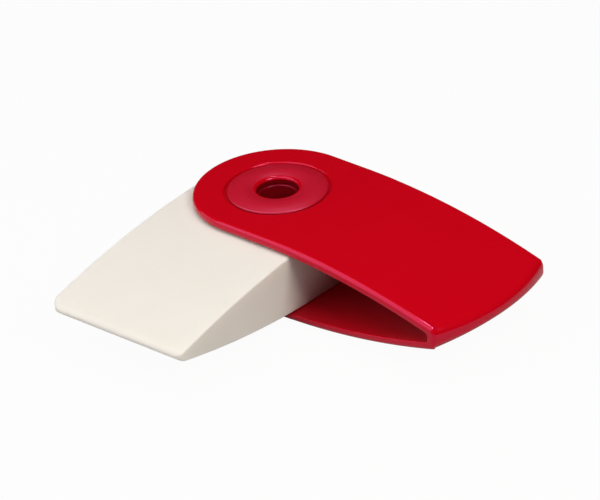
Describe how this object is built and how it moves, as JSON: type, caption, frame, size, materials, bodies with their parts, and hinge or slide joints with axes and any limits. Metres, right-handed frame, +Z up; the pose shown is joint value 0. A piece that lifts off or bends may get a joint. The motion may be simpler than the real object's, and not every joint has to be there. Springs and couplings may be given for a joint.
{
  "type": "pocket eraser with swivel sleeve",
  "caption": "Wedge-shaped soft block that swings out of a lens-shaped moulded sleeve on a hollow snap hub; the sleeve covers the block when it is closed.",
  "frame": {"origin": "on the ground under the middle of the bounding box, with the block swung out of the sleeve", "axes": "+X along the sleeve from its pivot to its thin closed end, +Z up along the pivot axis"},
  "size_m": [0.0538, 0.0496, 0.0122],
  "materials": {
    "sleeve": "polished moulding",
    "hub": "finely textured moulding",
    "eraser": "matte soft vinyl"
  },
  "bodies": {
    "sleeve": {"sleeve": "sleeve", "hub_socket": "hub", "hub_spigot": "hub"},
    "eraser": {"eraser_block": "eraser"}
  },
  "joints": [
    {"name": "eraser_swing", "type": "hinge", "parent": "sleeve", "child": "eraser", "pos_m": [-0.01425, 0.01213, 0.0061], "axis": [0, 0, 1], "continuous": true}
  ]
}
